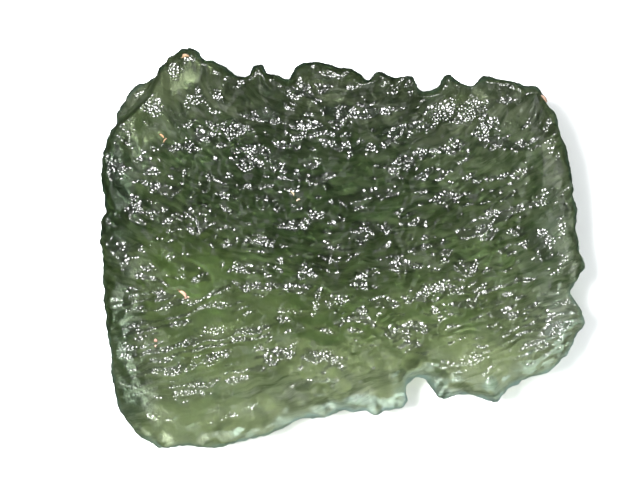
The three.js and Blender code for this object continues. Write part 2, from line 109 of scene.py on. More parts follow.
BOTTOM_SIDE = [
    (-13, -11.2), (-12.3, -11.7), (-11.35, -12.3), (-10.4, -12.2), (-9.6, -12.15),
    (-8.55, -12.25), (-7.5, -12.15), (-6.5, -11.9), (-4.4, -11.3), (-3.4, -10.85),
    (-2.45, -10.45), (-1.3, -10.4), (-0.8, -10.2), (-0.05, -9.85), (0.6, -10.05),
    (1.35, -9.95), (1.9, -10.25), (2.75, -9.95), (3.6, -9.75), (3.95, -9.3), (3.85, -8.9),
    (3.95, -8.25), (4.55, -7.85), (5.2, -8), (5.45, -8.55), (5.85, -9), (6.5, -9.1),
    (7.35, -9), (8.35, -9.1), (9.1, -9.4), (9.5, -9.4), (10.1, -8.7), (11.65, -7.85),
    (12.6, -7.55), (13.4, -6.9), (14.1, -6), (14.7, -5.05), (14.95, -4.5),
]
LEFT_SIDE = [
    (-13, -11.2), (-13.75, -10.25), (-14, -9.6), (-14.15, -8.7), (-14.4, -7.45), (-14.45, -6),
    (-14.7, -4.75), (-14.8, -3.45), (-14.8, -2.6), (-14.9, -1.7), (-14.8, -1), (-15, 0.3),
    (-14.9, 2.1), (-14.7, 2.45), (-14.7, 2.95), (-14.9, 4), (-14.9, 5.65), (-14.55, 7.3),
    (-14.2, 7.95), (-14.2, 8.35), (-13.8, 9.15), (-13.3, 9.95),
]

# every 30 degrees around the outline, starting at +X
RIM_HEIGHT = [2.9, 3.4, 3.9, 4.1, 3.9, 2.3, 3.3, 2.8, 2.2, 1.9, 1.9, 2.2]
BEVEL_WIDTH = [0.8, 0.6, 0.5, 0.5, 0.5, 0.6, 0.7, 1.1, 2.2, 2.2, 1.6, 1.0]
BEVEL_VARIES = 0.35            # share by which the bevel's width varies along the rim
UNDERSIDE_BEVEL = [2.6, 2.4, 2.4, 2.4, 2.4, 2.4, 2.6, 3.0, 3.6, 3.6, 3.2, 2.8]
RIM_WAVE = 2.2
BEVEL_WAVE = 1.3

# swells and hollows: x, y, radius along x, radius along y, height
SWELLS = [
    (-3, 4.5, 6, 5, 0.8), (-4, -11, 9, 3.0, -1.1), (13, 1, 3, 9, -0.5),
    (-9.8, 9.4, 2.2, 1.8, 0.35), (-10.6, -0.3, 1.7, 1.9, 0.55), (-3, -3.3, 2.4, 0.7, 0.4),
    (10.2, 6.5, 2.6, 1.6, 0.35), (6.5, -4.6, 3.6, 1.6, 0.4), (-9.6, -7, 3.2, 1.6, 0.45),
    (0.6, -6.6, 3.6, 1.3, 0.35), (10.6, -0.4, 2, 1.6, 0.4), (-4.9, 8.9, 0.8, 0.8, -0.75),
    (-6, 8.7, 0.5, 0.5, -0.45), (-7.7, -4.4, 1.3, 0.9, -0.75), (12.1, 4.2, 0.8, 1.3, -0.45),
    (0.8, 4, 1, 0.6, -0.5), (1.9, 5, 0.7, 0.6, -0.45), (-2.2, 8.2, 0.6, 0.9, -0.4),
    (4.3, 7.8, 0.9, 0.5, -0.4), (-5.1, -0.5, 2.6, 0.5, -0.45), (7, 2, 1.5, 0.6, -0.35),
    (-0.5, -2.6, 0.8, 0.5, -0.4), (7.2, 9.4, 1.5, 1, -0.6), (5, 8.9, 1, 0.6, -0.5),
    (-13.4, 0.2, 0.7, 0.7, -0.35), (5.1, -6.5, 0.8, 1.4, -0.5), (2.9, -9.1, 1, 0.9, -1.1),
    (-5.6, -11.1, 2.6, 0.5, -0.7), (12, -2.8, 1.4, 1.6, -0.35),
]

FLANGE_STEP = [
    (-15.4, 5.2), (-13.9, 7.7), (-12.6, 8.8), (-11.9, 9.6), (-11.5, 10.7), (-11.3, 11.6),
]
FLANGE_TOP = 3.8
FLANGE_WAVE = 0.8

# ridges of the upper face: x and y of both ends, height
RIDGES = [
    # upper left
    (-9.6, 7.3, -8.4, 6.8, 0.35), (-8.9, 6.2, -7.6, 6.2, 0.3), (-12.6, 5.9, -11.4, 5.6, 0.35),
    (-10.7, 5.9, -9.4, 5.9, 0.3), (-14.4, 4.9, -13.1, 4.8, 0.25), (-10.4, 4.4, -9.4, 4.4, 0.4),
    (-6.9, 6.9, -5.8, 6.8, 0.25), (-12.3, 4.2, -11.4, 4.2, 0.3), (-12.1, 3.4, -10.2, 3.5, 0.35),
    # upper middle
    (-1.1, 8.3, 0.4, 8, 0.35), (1.6, 8.1, 2.8, 8.1, 0.35), (-2.5, 9.5, -1.6, 9.4, 0.3),
    (2.2, 6.8, 3.4, 6.9, 0.35), (-1.1, 6.2, 0.1, 5.6, 0.4), (0.9, 5.8, 2.4, 5.8, 0.3),
    (-2.4, 5, -1.5, 5.1, 0.3), (-1.1, 4.3, -0.1, 4.4, 0.35), (0.1, 4.2, 1.2, 4.6, 0.3),
    (2.5, 4.7, 4.4, 5, 0.4), (4.4, 7.4, 5.2, 7.6, 0.25), (4.7, 5.6, 6.9, 6.2, 0.45),
    (4.6, 4.2, 6.6, 4.6, 0.35), (-3.4, 6.9, -2.7, 7.1, 0.25), (-3.4, 6.1, -2.6, 6.1, 0.25),
    # upper right
    (8.9, 8.6, 9.9, 8.8, 0.35), (8.5, 6.2, 11.4, 6.1, 0.5), (8.1, 4.1, 11.2, 4.3, 0.45),
    (9.4, 3.2, 11.2, 3.3, 0.3), (12.2, 4.4, 12.8, 4.6, 0.25),
    # left
    (-8.4, 3.8, -7.8, 2.9, 0.35), (-6.2, 3.6, -4.1, 2.1, 0.45), (-12.9, 2.7, -11.9, 2.6, 0.3),
    (-13, 1.8, -10.7, 1.6, 0.45), (-10.1, 1.9, -9.1, 1.6, 0.4), (-9.3, 0.8, -8.8, 0.8, 0.25),
    (-8.1, 0.1, -7.4, 0, 0.35), (-6.4, 0.4, -5.8, 0.2, 0.35), (-5.1, 0.6, -4.4, 0.3, 0.3),
    (-10.7, -0.7, -8.7, -1.8, 0.45), (-7.4, -1.2, -5.1, -1.7, 0.4), (-13.7, 0, -12.7, -0.1, 0.3),
    (-13.3, -1.4, -11.6, -1.8, 0.3), (-7.8, -2.6, -5.6, -2.6, 0.45),
    (-11.4, -3.2, -10.2, -3.4, 0.4), (-13.9, -2.8, -13, -2.8, 0.25), (-6.6, -3.7, -5.7, -4.2, 0.4),
    # middle
    (-4.1, 4.6, -1.6, 3.9, 0.45), (-1.8, 3.7, 0.2, 2.6, 0.45), (0.2, 2.6, 2.1, 3.4, 0.4),
    (2.7, 3, 3.8, 3.7, 0.4), (1.7, 2.8, 2.4, 3.1, 0.25), (-3.8, 1.4, -2.3, 0.8, 0.4),
    (-2, 1.8, -1.3, 1.8, 0.25), (-0.9, 1.4, 0.3, 1.4, 0.3), (1.2, 0.8, 2.6, 0.9, 0.3),
    (-0.8, 0.2, 0.4, 0.2, 0.3), (-4.9, -0.2, -3.8, -0.4, 0.35), (-0.7, -0.6, 0.2, -0.8, 0.3),
    (0.2, -0.7, 1.1, -0.2, 0.3), (-1.7, -1.3, -0.3, -1.3, 0.35), (0.9, -1.8, 2.5, -2, 0.35),
    (2.4, -1.2, 3.6, -1.7, 0.35), (3.8, -1.1, 4.9, -1.4, 0.35), (3.2, 1.6, 3.9, 0.7, 0.3),
    (4.3, 1.5, 5.4, 1.2, 0.35), (4.1, -0.1, 4.7, -0.1, 0.25), (0.4, -2.2, 2.2, -3.1, 0.45),
    (-4.7, -2.6, -2.6, -2.6, 0.4), (-0.6, -3.5, 0.1, -3.2, 0.25),
    # right
    (4.2, 3.1, 6.1, 3, 0.3), (6.2, 2.5, 7.1, 2.1, 0.3), (7.1, 3, 7.9, 2.3, 0.35),
    (8.1, 1.8, 8.9, 1.9, 0.3), (9.9, 1.8, 11.6, 2.6, 0.45), (7.2, 0.6, 9.2, 0.8, 0.45),
    (6.4, 0.2, 7.4, 0.4, 0.3), (9.2, 0.1, 10.1, -0.4, 0.3), (10.4, 0.8, 11.8, 0.7, 0.3),
    (11, 0, 11.7, 0, 0.25), (7.5, -1.2, 8.5, -1.2, 0.3), (9.8, -1.5, 11.4, -1.8, 0.4),
    (8.6, -2.1, 9.9, -2.3, 0.35), (5.6, -0.1, 7.5, -1.6, 0.45), (11.3, -0.9, 12.4, -0.4, 0.3),
    # lower left
    (-5.1, -7.4, -4.5, -6.3, 0.3), (-12.2, -9.2, -8.3, -8.6, 0.35), (-8.3, -8.6, -5.1, -7.6, 0.35),
    (-13.3, -3.8, -11.6, -3.4, 0.3), (-12.6, -5.2, -9.8, -4.6, 0.3), (-12.4, -6.6, -8.6, -5.8, 0.3),
    (-12.4, -7.9, -6.4, -6.7, 0.3), (-6.6, -5.6, -4.6, -5, 0.3),
    # lower middle
    (1.4, -3.9, 3.7, -3.4, 0.5), (-3.8, -4.4, -1.9, -4.2, 0.45), (-1.9, -4.2, -0.6, -3.6, 0.35),
    (-1.4, -4.9, -0.6, -4.8, 0.3), (-0.2, -4.4, 0.5, -4.4, 0.3), (0.9, -4.3, 2.5, -5.2, 0.4),
    (3.1, -5.3, 4.2, -4.9, 0.4), (4.4, -5, 5.4, -4.8, 0.4), (-2.3, -6.8, -0.9, -6.8, 0.45),
    (-4.1, -6.6, -3.1, -6.6, 0.3), (-4.2, -5.8, -2.7, -5.7, 0.25), (3.8, -6, 4.6, -5.8, 0.25),
    # lower right
    (5.1, -2.8, 7.4, -2.7, 0.45), (7.7, -2.8, 9.2, -3, 0.35), (5.5, -3.9, 7.5, -3.6, 0.45),
    (7.5, -3.6, 8.7, -3.7, 0.35), (9.2, -4.2, 10.6, -4.1, 0.4), (4.4, -3.2, 5.2, -3.1, 0.25),
    (6.6, -6, 7.4, -5.9, 0.2), (10.8, -6.7, 13.8, -4.9, 0.35),
]

# slow waves: waves per mm along x and y, phase, height
WAVES = [
    (0.11, 0.19, 0.4, 0.16), (-0.23, 0.15, 2.1, 0.13), (0.31, 0.27, 4.4, 0.09),
    (0.17, -0.39, 1.2, 0.08), (-0.46, -0.21, 3.3, 0.06), (0.52, -0.33, 5.6, 0.05),
]

UNDERSIDE_SWELLS = [
    (-5.5, -1.5, 1.6, 1.1, 0.45), (4.6, 4.4, 1.8, 1.2, 0.4), (-3.5, 5.8, 1.9, 1.3, 0.4),
    (5.4, -4.2, 1.8, 1.3, 0.45), (-8.5, 6.5, 1.5, 1.1, 0.4), (11.3, -2.2, 1.3, 1.6, 0.35),
    (-5, -6.5, 9, 4.3, 2.6), (7, -6.5, 9, 4, 2), (12, 0, 3, 7, 0.9), (-8.5, -10, 3, 1.5, 0.5),
]
CONTACTS = [(0, -1.5, 2.7), (-9.4, 1.6, 2), (9.2, 2.4, 2), (-2.5, 7.5, 2.2)]
CONTACT_DEPTH = 1.3

# fine mesh
COARSE_COLUMNS = 58
COARSE_ROWS = 48
FINER = 5                      # fine cells in a coarse one
RIM_SHARES = (0.01, 0.04, 0.1, 0.19, 0.3, 0.44, 0.6, 0.8)  # points added in the outer cell
COARSE_SWEEPS = 1200
FINE_SWEEPS = 40
LATTICE = 256

# fine relief of the upper face
# every noise has its own seed, and heights and sizes are in millimetres
WARP = 0.16                    # how far the ridges wander sideways
WARP_SIZE = 1.1
FLOW_MIDDLE = (-0.2, 12)       # the relief runs in arcs around this point
FLOW_FLATNESS = 0.6            # less than 1 makes the arcs flatter than circles
FLOW_SLOPE = 15                # degrees, of the straight rows below the arcs
FLOW_TURNS = (-2.5, -7)        # the arcs give way to the rows between these heights on Y
TERRACE_PITCH = 0.95
TERRACE_HEIGHT = 0.25
TERRACE_RISE = 0.32            # share of the pitch that faces the arcs' middle
FLUTE_WIDTH = 0.42
FLUTE_LENGTH = 1.1
FLUTE_HEIGHT = 0.035
DOME_SIZE = 0.66
DOME_HEIGHT = 0.16
GRAIN_SIZE = 0.26
GRAIN_HEIGHT = 0.022
# fields of straight fine rows: x, y, radius along x, radius along y, slope in degrees, pitch, height
STRIAE_FIELDS = [
    (-9.6, -5.7, 5.1, 3.6, 13, 0.62, 0.25),
    (10.0, -6.0, 3.6, 1.7, 22, 0.55, 0.17),
]
STRIA_RISE = 0.3               # share of the pitch over which a fine row rises
# round hollows with a low crest around them: x, y, radius along x, radius along y, depth
BASINS = [
    (-8.0, -4.5, 1.35, 1.0, 0.34), (-3.5, -3.2, 1.8, 0.6, 0.2), (-2.2, -6.2, 2.8, 1.3, 0.3),
    (-2.2, -7.5, 0.55, 0.5, 0.16), (-0.6, -7.6, 0.55, 0.5, 0.16), (-1.5, -8.5, 0.7, 0.45, 0.16),
    (0, -8.3, 0.6, 0.5, 0.15), (-3.6, -7.2, 0.6, 0.5, 0.15), (-11, -9.8, 1.3, 0.65, 0.2),
    (-11.5, -11, 1.1, 0.6, 0.15), (-8.6, -9.5, 1, 0.5, 0.14),
    (-6.6, -9.6, 1.1, 0.6, 0.14), (2.5, -6.6, 1.1, 0.9, 0.18),
    (1, -6.9, 0.9, 1, 0.16), (-9, -1.1, 2.2, 0.9, 0.2), (7.2, -6.4, 1.4, 0.7, 0.16),
    (-4.9, -9.4, 0.9, 0.7, 0.14), (4.2, -6.9, 0.8, 0.7, 0.14),
]
BASIN_CREST = 0.35             # height of the crest as a share of the depth
CREST_WIDTH = 0.2              # as a share of the radius
SIDE_SCOOP = 0.16              # how deep the sides are scooped
SIDE_SCOOP_SIZE = 0.9
SIDE_SCOOP_REACH = 0.5         # distance to the outline over which the scoops fade
# places with a smooth, shiny skin: x, y, radius along x, radius along y
SMOOTH_PLACES = [
    (-3, -3.3, 2.2, 0.5), (-7.7, -4.3, 1.4, 1.2), (12, 4.5, 1, 1.6), (-4.9, 9, 0.8, 0.8),
    (-10.2, 10, 2.6, 2.2), (-10.6, -0.6, 1, 1), (6.5, 9.2, 2, 1.4), (-6, -10, 9, 2),
    (2, -9.3, 4.5, 1.0), (8.5, -7.8, 4, 1.6), (13.4, 2, 1, 6), (-5, -0.6, 2.4, 0.4),
]
MILD_GRAIN = 0.4               # share of the grain left in a smooth place
FLANK_SHADE_TILT = (0.0, 0.4)        # painted shade on flanks tilted towards +Y: tilt from none to the darkest
FLANK_SHADE_INSIDE = (0.4, 1.4)       # distances to the outline between which the painted flank shade begins
EDGE_LIGHT_WIDTH = 0.22               # width of the painted band along the outline: a grey-blue painted reflection, with a painted dark shade line at its outer part
PITTED_TILT = 25               # degrees towards +Y, of the flanks that are full of pits
PITTED_FADE = (36, 20)         # degrees away from that, where the pits end and where they are full
ROWS_PITTED = 0.3              # how much fuller the fine rows are
# places with a pale skin, a dark one and where the left wall gets painted shade: x, y, radius along x,
# radius along y
PALE_PLACES = [
    (-10.8, 10.2, 1.6, 1.5), (7.4, 9.3, 1.8, 0.8), (3, -9, 1.4, 1), (-8, -10.6, 6.5, 1.5),
    (-3, -3.3, 2, 0.5), (-12.4, 8, 1, 1.6), (-9, -7, 3, 1.5), (-10, -1.5, 4, 2.5), (-2, -5, 8, 1.8),
    (6, -3.5, 4, 1.5), (-4, 11, 10, 0.9), (13.6, 7, 1, 2), (9, -6.5, 4, 1.4),
]
DEEP_PLACES = [(12.6, 1, 1, 4), (-3, 4, 7, 3.6)]
DEEP_SHARE = 0.5
WALL_SHADE_PLACES = [(-13.5, -4.5, 1.1, 5), (-12.8, -9.7, 0.9, 1.4), (-13.9, 4, 1, 4), (-9.6, 10.2, 0.9, 0.9)]
STREAK_WIDTH = 0.22
STREAK_LENGTH = 1.3
# skin of the underside
UNDERSIDE_PITTED = 0.6
UNDERSIDE_SMOOTH = 0.5
# painted flank shade on the underside
UNDERSIDE_FLANK_SHADE = 0.2


def smooth_step(low, high, value):
    t = np.clip((value - low) / (high - low), 0, 1)
    return t * t * (3 - 2 * t)


def noise(x, y, size, seed):
    """Smooth noise from about -1 to 1, with bumps of about this size."""
    angle = np.random.default_rng(seed).uniform(0, 2 * np.pi, (LATTICE, LATTICE))
    slope_x, slope_y = np.cos(angle), np.sin(angle)
    u, v = x / size, y / size
    column, row = np.floor(u).astype(int), np.floor(v).astype(int)
    u, v = u - column, v - row

    def corner(right, up):
        place = (column + right) % LATTICE, (row + up) % LATTICE
        return slope_x[place] * (u - right) + slope_y[place] * (v - up)

    ease_u = u ** 3 * (u * (u * 6 - 15) + 10)
    ease_v = v ** 3 * (v * (v * 6 - 15) + 10)
    low = corner(0, 0) + (corner(1, 0) - corner(0, 0)) * ease_u
    high = corner(0, 1) + (corner(1, 1) - corner(0, 1)) * ease_u
    return 1.5 * (low + (high - low) * ease_v)


def around_outline(stations, x, y):
    """Value of evenly spaced stations around the outline, in the direction of a point."""
    values = np.array(stations)
    place = (np.arctan2(y, x) / (2 * np.pi) % 1) * len(values)
    before = np.floor(place).astype(int) % len(values)
    after = (before + 1) % len(values)
    return values[before] + (values[after] - values[before]) * smooth_step(0, 1, place % 1)


def waves(x, y):
    total = np.zeros_like(x)
    for per_x, per_y, phase, height in WAVES:
        total += height * np.sin(2 * np.pi * (per_x * x + per_y * y) + phase)
    return total


def swells(places, x, y):
    total = np.zeros_like(x)
    for cx, cy, rx, ry, height in places:
        total += height * np.exp(-(((x - cx) / rx) ** 2) - ((y - cy) / ry) ** 2)
    return total


def against_segment(x, y, x0, y0, x1, y1):
    """Distance along a segment, distance to its left, and its length."""
    length = math.hypot(x1 - x0, y1 - y0)
    ux, uy = (x1 - x0) / length, (y1 - y0) / length
    along = (x - x0) * ux + (y - y0) * uy
    left = (y - y0) * ux - (x - x0) * uy
    return along, left, length


def ridges(x, y):
    total = np.zeros_like(x)
    for x0, y0, x1, y1, height in RIDGES:
        along, left, length = against_segment(x, y, x0, y0, x1, y1)
        beyond = np.maximum(np.maximum(-along, along - length), 0)
        fade = np.exp(-((beyond / RIDGE_END) ** 2))
        width = np.where(left > 0, RIDGE_STEEP, RIDGE_GENTLE)
        crest = np.exp(-((left / width) ** 2))
        groove = 0.55 * np.exp(-(((left - 2 * RIDGE_STEEP) / RIDGE_STEEP) ** 2))
        total += height * fade * (crest - groove)
    return total


def outside_flange_step(x, y):
    nearest = np.full_like(x, np.inf)
    side = np.full_like(x, -1.0)
    for (x0, y0), (x1, y1) in zip(FLANGE_STEP, FLANGE_STEP[1:]):
        along, left, length = against_segment(x, y, x0, y0, x1, y1)
        beyond = np.maximum(np.maximum(-along, along - length), 0)
        distance = np.hypot(beyond, left)
        closer = distance < nearest
        nearest = np.where(closer, distance, nearest)
        side = np.where(closer, np.where(left > 0, 1, -1), side)
    return nearest * side


def rim_height(x, y):
    return around_outline(RIM_HEIGHT, x, y) + RIM_WAVE * waves(1.3 * y, 1.3 * x)


def share_of(places, x, y):
    """1 in the middle of one of the places, 0 away from them all."""
    total = np.zeros_like(x)
    for cx, cy, rx, ry in places:
        total += np.exp(-(((x - cx) / rx) ** 2) - ((y - cy) / ry) ** 2)
    return np.clip(total, 0, 1)


def flow(x, y):
    """Distance across the rows that the relief runs in."""
    arc = np.hypot(FLOW_FLATNESS * (x - FLOW_MIDDLE[0]), y - FLOW_MIDDLE[1])
    turn = math.radians(FLOW_SLOPE)
    row = FLOW_MIDDLE[1] - y * math.cos(turn) + x * math.sin(turn)
    return arc + (row - arc) * smooth_step(*FLOW_TURNS, y)


def terraces(x, y):
    """Rows of crescents, steep towards the middle of the arcs and gentle away from it."""
    across = flow(x, y)
    place = (across / TERRACE_PITCH + 0.6 * noise(x, y, 1.7, 13)) % 1
    step = smooth_step(0, TERRACE_RISE, place) - smooth_step(TERRACE_RISE, 1, place)
    strength = np.clip(0.35 + 1.4 * noise(x, across, 0.75, 14), 0, 1.25)
    return TERRACE_HEIGHT * (step - 0.5) * strength


def flutes(x, y):
    """Short scoops along the rows, with sharp crests between them."""
    across = flow(x, y) + 0.3 * noise(x, y, 1.6, 11)
    scoop = noise(x * FLUTE_WIDTH / FLUTE_LENGTH, across, FLUTE_WIDTH, 12)
    return FLUTE_HEIGHT * (1 - 2.6 * np.abs(scoop))


def striae(x, y):
    """Height of the fine straight rows, and how far they take the place of the crescents."""
    total = np.zeros_like(x)
    covered = np.zeros_like(x)
    for cx, cy, rx, ry, slope, pitch, height in STRIAE_FIELDS:
        turn = math.radians(slope)
        across = y * math.cos(turn) - x * math.sin(turn)
        along = x * math.cos(turn) + y * math.sin(turn)
        phase = across / pitch + 0.7 * noise(along, across * 2, 1.8, 21)
        share = np.exp(-(((x - cx) / rx) ** 8) - ((y - cy) / ry) ** 8)
        place = phase % 1
        row = np.minimum(place / STRIA_RISE, (1 - place) / (1 - STRIA_RISE)) - 0.5
        total += share * height * row * (1 + 0.5 * noise(x, y, 0.8, 22))
        covered += share
    return total, covered


def basins(x, y):
    """Height of the round hollows, and 1 inside them."""
    total = np.zeros_like(x)
    inside = np.zeros_like(x)
    for cx, cy, rx, ry, depth in BASINS:
        distance = np.hypot((x - cx) / rx, (y - cy) / ry) + 0.15 * noise(x, y, 0.8, 71)
        total -= depth * np.clip(1 - distance ** 2, 0, 1)
        total += BASIN_CREST * depth * np.exp(-(((distance - 1) / CREST_WIDTH) ** 2))
        inside = np.maximum(inside, smooth_step(1, 0.75, distance))
    return total, inside


def fine_relief(x, y):
    hollows, inside = basins(x, y)
    mild = 1 - (1 - MILD_GRAIN) * np.maximum(share_of(SMOOTH_PLACES, x, y), inside)
    grain = GRAIN_HEIGHT * noise(x, y, GRAIN_SIZE, 31)
    grain += 1.5 * GRAIN_HEIGHT * noise(x, y, 2 * GRAIN_SIZE, 32)
    rows, covered = striae(x, y)
    domes = DOME_HEIGHT * noise(0.85 * x, flow(x, y), DOME_SIZE, 16)
    crescents = (terraces(x, y) + domes) * (1 - 0.75 * covered) * (1 - 0.6 * inside)
    return mild * (crescents + flutes(x, y) + grain) + rows * (1 - inside) + hollows


def upper_height(x, y, edge):
    rim = rim_height(x, y)
    width = around_outline(BEVEL_WIDTH, x, y) * (1 + BEVEL_WAVE * waves(2 * x, 2 * y))
    width = width * (1 + BEVEL_VARIES * noise(x, y, 0.9, 4))
    inward = np.minimum(edge / width, 1)
    rounding = (1 - (1 - inward) ** 2) ** EDGE_SWELL
    warped_x = x + WARP * noise(x, y, WARP_SIZE, 1)
    warped_y = y + WARP * noise(x, y, WARP_SIZE, 2)
    relief = ridges(warped_x, warped_y) * smooth_step(0, RIDGES_START, edge)
    relief = relief * (RIDGE_SHARE + RIDGE_VARIES * noise(x, y, 0.6, 3))
    relief = relief + fine_relief(x, y) * smooth_step(0, RELIEF_STARTS, edge)
    face = TOP_MIDDLE + TOP_TILT_X * x + TOP_TILT_Y * y + swells(SWELLS, x, y) + waves(x, y)
    on_flange = smooth_step(-0.25, 0.5, outside_flange_step(x, y))
    face = face + (FLANGE_TOP + FLANGE_WAVE * waves(x, y) - face) * on_flange
    relief = relief * (1 - (1 - FLANGE_RELIEF) * on_flange)
    height = rim + np.maximum(face - rim, LEAST_RISE) * rounding + relief
    over = np.maximum(height - (TOP_LIMIT - TOP_SOFTNESS), 0)
    return height - over + TOP_SOFTNESS * (1 - np.exp(-over / TOP_SOFTNESS))


def lower_height(x, y, edge, upper):
    rim = rim_height(x, y)
    inward = np.minimum(edge / around_outline(UNDERSIDE_BEVEL, x, y), 1)
    rise = rim * (1 - np.sqrt(1 - (1 - inward) ** 2))
    height = UNDERSIDE_GAP + swells(UNDERSIDE_SWELLS, x, y) + 0.6 * waves(y, -x)
    for cx, cy, radius in CONTACTS:
        height = height - CONTACT_DEPTH * np.exp(-((x - cx) ** 2 + (y - cy) ** 2) / radius ** 2)
    height = height + 1.2 * terraces(-x, -y) + 0.25 * noise(x, y, 1.2, 41)
    height = np.maximum(height, 0) * smooth_step(0, 1.2, edge)
    return np.minimum(rise + height, upper - THINNEST * np.minimum(edge, 1))


def side_samples(points, cells):
    """Evenly spaced points on a centripetal Catmull-Rom curve through the points."""
    points = np.array(points, float)
    before = 2 * points[0] - points[1]
    after = 2 * points[-1] - points[-2]
    knots = np.vstack([before, points, after])
    share = np.linspace(0, 1, 40, endpoint=False)[:, None]
    stretches = []
    for p0, p1, p2, p3 in zip(knots, knots[1:], knots[2:], knots[3:]):
        gap0, gap1, gap2 = (np.sqrt(np.linalg.norm(b - a)) for a, b in ((p0, p1), (p1, p2), (p2, p3)))
        start = ((p1 - p0) / gap0 - (p2 - p0) / (gap0 + gap1) + (p2 - p1) / gap1) * gap1
        end = ((p2 - p1) / gap1 - (p3 - p1) / (gap1 + gap2) + (p3 - p2) / gap2) * gap1
        square, cube = 3 * (p2 - p1) - 2 * start - end, 2 * (p1 - p2) + start + end
        stretches.append(p1 + start * share + square * share ** 2 + cube * share ** 3)
    line = np.vstack([*stretches, points[-1:]])
    length = np.concatenate([[0], np.cumsum(np.linalg.norm(np.diff(line, axis=0), axis=1))])
    even = np.linspace(0, length[-1], cells + 1)
    return np.stack([np.interp(even, length, line[:, axis]) for axis in (0, 1)], axis=1)


def set_sides(grid):
    rows, columns = grid.shape[0] - 1, grid.shape[1] - 1
    grid[-1] = side_samples(TOP_SIDE, columns)
    grid[0] = side_samples(BOTTOM_SIDE, columns)
    grid[:, 0] = side_samples(LEFT_SIDE, rows)
    grid[:, -1] = side_samples(RIGHT_SIDE, rows)


def blended_grid(rows, columns):
    """A grid between four sides, each point blended from the sides."""
    grid = np.zeros((rows + 1, columns + 1, 2))
    set_sides(grid)
    v = np.linspace(0, 1, rows + 1)[:, None, None]
    u = np.linspace(0, 1, columns + 1)[None, :, None]
    bottom, top, left, right = grid[:1], grid[-1:], grid[:, :1], grid[:, -1:]
    corners = (1 - u) * (1 - v) * grid[0, 0] + u * (1 - v) * grid[0, -1]
    corners = corners + (1 - u) * v * grid[-1, 0] + u * v * grid[-1, -1]
    return (1 - v) * bottom + v * top + (1 - u) * left + u * right - corners


def relax(grid, sweeps):
    """Evens out the inner points so that no cell folds at a notch."""
    for _ in range(sweeps):
        east, west = grid[1:-1, 2:], grid[1:-1, :-2]
        north, south = grid[2:, 1:-1], grid[:-2, 1:-1]
        across, up = (east - west) / 2, (north - south) / 2
        alpha = (up ** 2).sum(-1, keepdims=True)
        beta = (across * up).sum(-1, keepdims=True)
        gamma = (across ** 2).sum(-1, keepdims=True)
        twist = (grid[2:, 2:] - grid[2:, :-2] - grid[:-2, 2:] + grid[:-2, :-2]) / 4
        pull = alpha * (east + west) + gamma * (north + south)
        grid[1:-1, 1:-1] = (pull - 2 * beta * twist) / (2 * (alpha + gamma))


def finer_grid(grid):
    rows, columns = grid.shape[0] - 1, grid.shape[1] - 1
    for axis, count in ((0, rows), (1, columns)):
        place = np.arange(count * FINER + 1) / FINER
        start = np.minimum(place.astype(int), count - 1)
        share = (place - start).reshape((-1, 1, 1) if axis == 0 else (1, -1, 1))
        low, high = np.take(grid, start, axis), np.take(grid, start + 1, axis)
        grid = low + (high - low) * share
    set_sides(grid)
    relax(grid, FINE_SWEEPS)
    return grid


def with_rim_points(grid):
    """Adds rows next to the first and last row, so that the rim is round."""
    first = [grid[0] + (grid[1] - grid[0]) * share for share in RIM_SHARES]
    last = [grid[-1] + (grid[-2] - grid[-1]) * share for share in reversed(RIM_SHARES)]
    return np.concatenate([grid[:1], first, grid[1:-1], last, grid[-1:]])


def edge_distances(plan, outline):
    """Distance of each point to the outline, and the direction away from the outline."""
    points = plan.reshape(-1, 2)
    start = outline
    step = np.roll(outline, -1, axis=0) - start
    square = (step ** 2).sum(1)
    nearest = np.empty(len(points))
    inward = np.empty_like(points)
    for first in range(0, len(points), 500):
        offset = points[first:first + 500, None] - start
        share = np.clip((offset * step).sum(-1) / square, 0, 1)
        gap = offset - share[..., None] * step
        distance = np.sqrt((gap ** 2).sum(-1))
        closest = distance.argmin(1)
        rows = np.arange(len(closest))
        shortest = distance[rows, closest]
        nearest[first:first + 500] = shortest
        inward[first:first + 500] = gap[rows, closest] / np.maximum(shortest, 1e-6)[:, None]
    return nearest.reshape(plan.shape[:2]), inward.reshape(plan.shape)


def scooped_sides(points, edge, inward):
    """Moves the steep sides in and out, with scoops that also change with height."""
    x, y, z = points.T
    depth = noise(x + 0.8 * z, y - 0.6 * z, SIDE_SCOOP_SIZE, 51)
    depth = depth + 0.5 * noise(x - z, y + z, SIDE_SCOOP_SIZE / 2, 52)
    amount = SIDE_SCOOP * depth * np.exp(-((edge / SIDE_SCOOP_REACH) ** 2))
    amount = amount * smooth_step(0, 0.004, edge)
    points[:, :2] += inward * amount[:, None]


def upper_normals(points, rows, columns):
    """Unit normals of the upper face's points."""
    grid = points[:rows * columns].reshape(rows, columns, 3)
    normal = np.cross(np.gradient(grid, axis=1), np.gradient(grid, axis=0)).reshape(-1, 3)
    return normal / np.maximum(np.linalg.norm(normal, axis=1), 1e-9)[:, None]


def set_skin(mesh, name, kind, field, values):
    attribute = mesh.attributes.new(name, kind, "POINT")
    attribute.data.foreach_set(field, np.ravel(values))


# the underside has every second point of the upper grid, inside the rim
EVERY_SECOND = np.s_[2:-2:2, 2:-2:2]


def lower_faces(upper, lower):
    """Cells of two by two, with the rim's points between their corners."""
    rows, columns = upper.shape
    faces = []
    for row in range(0, rows - 1, 2):
        for column in range(0, columns - 1, 2):
            corners = [(row, column), (row, column + 2), (row + 2, column + 2), (row + 2, column)]
            middles = [
                (row, column + 1), (row + 1, column + 2), (row + 2, column + 1), (row + 1, column),
            ]
            on_rim = [row == 0, column + 3 == columns, row + 3 == rows, column == 0]
            face = []
            for corner, middle, rim in zip(corners, middles, on_rim):
                face.append(int(lower[corner]))
                if rim:
                    face.append(int(upper[middle]))
            faces.append(face[::-1])
    return faces


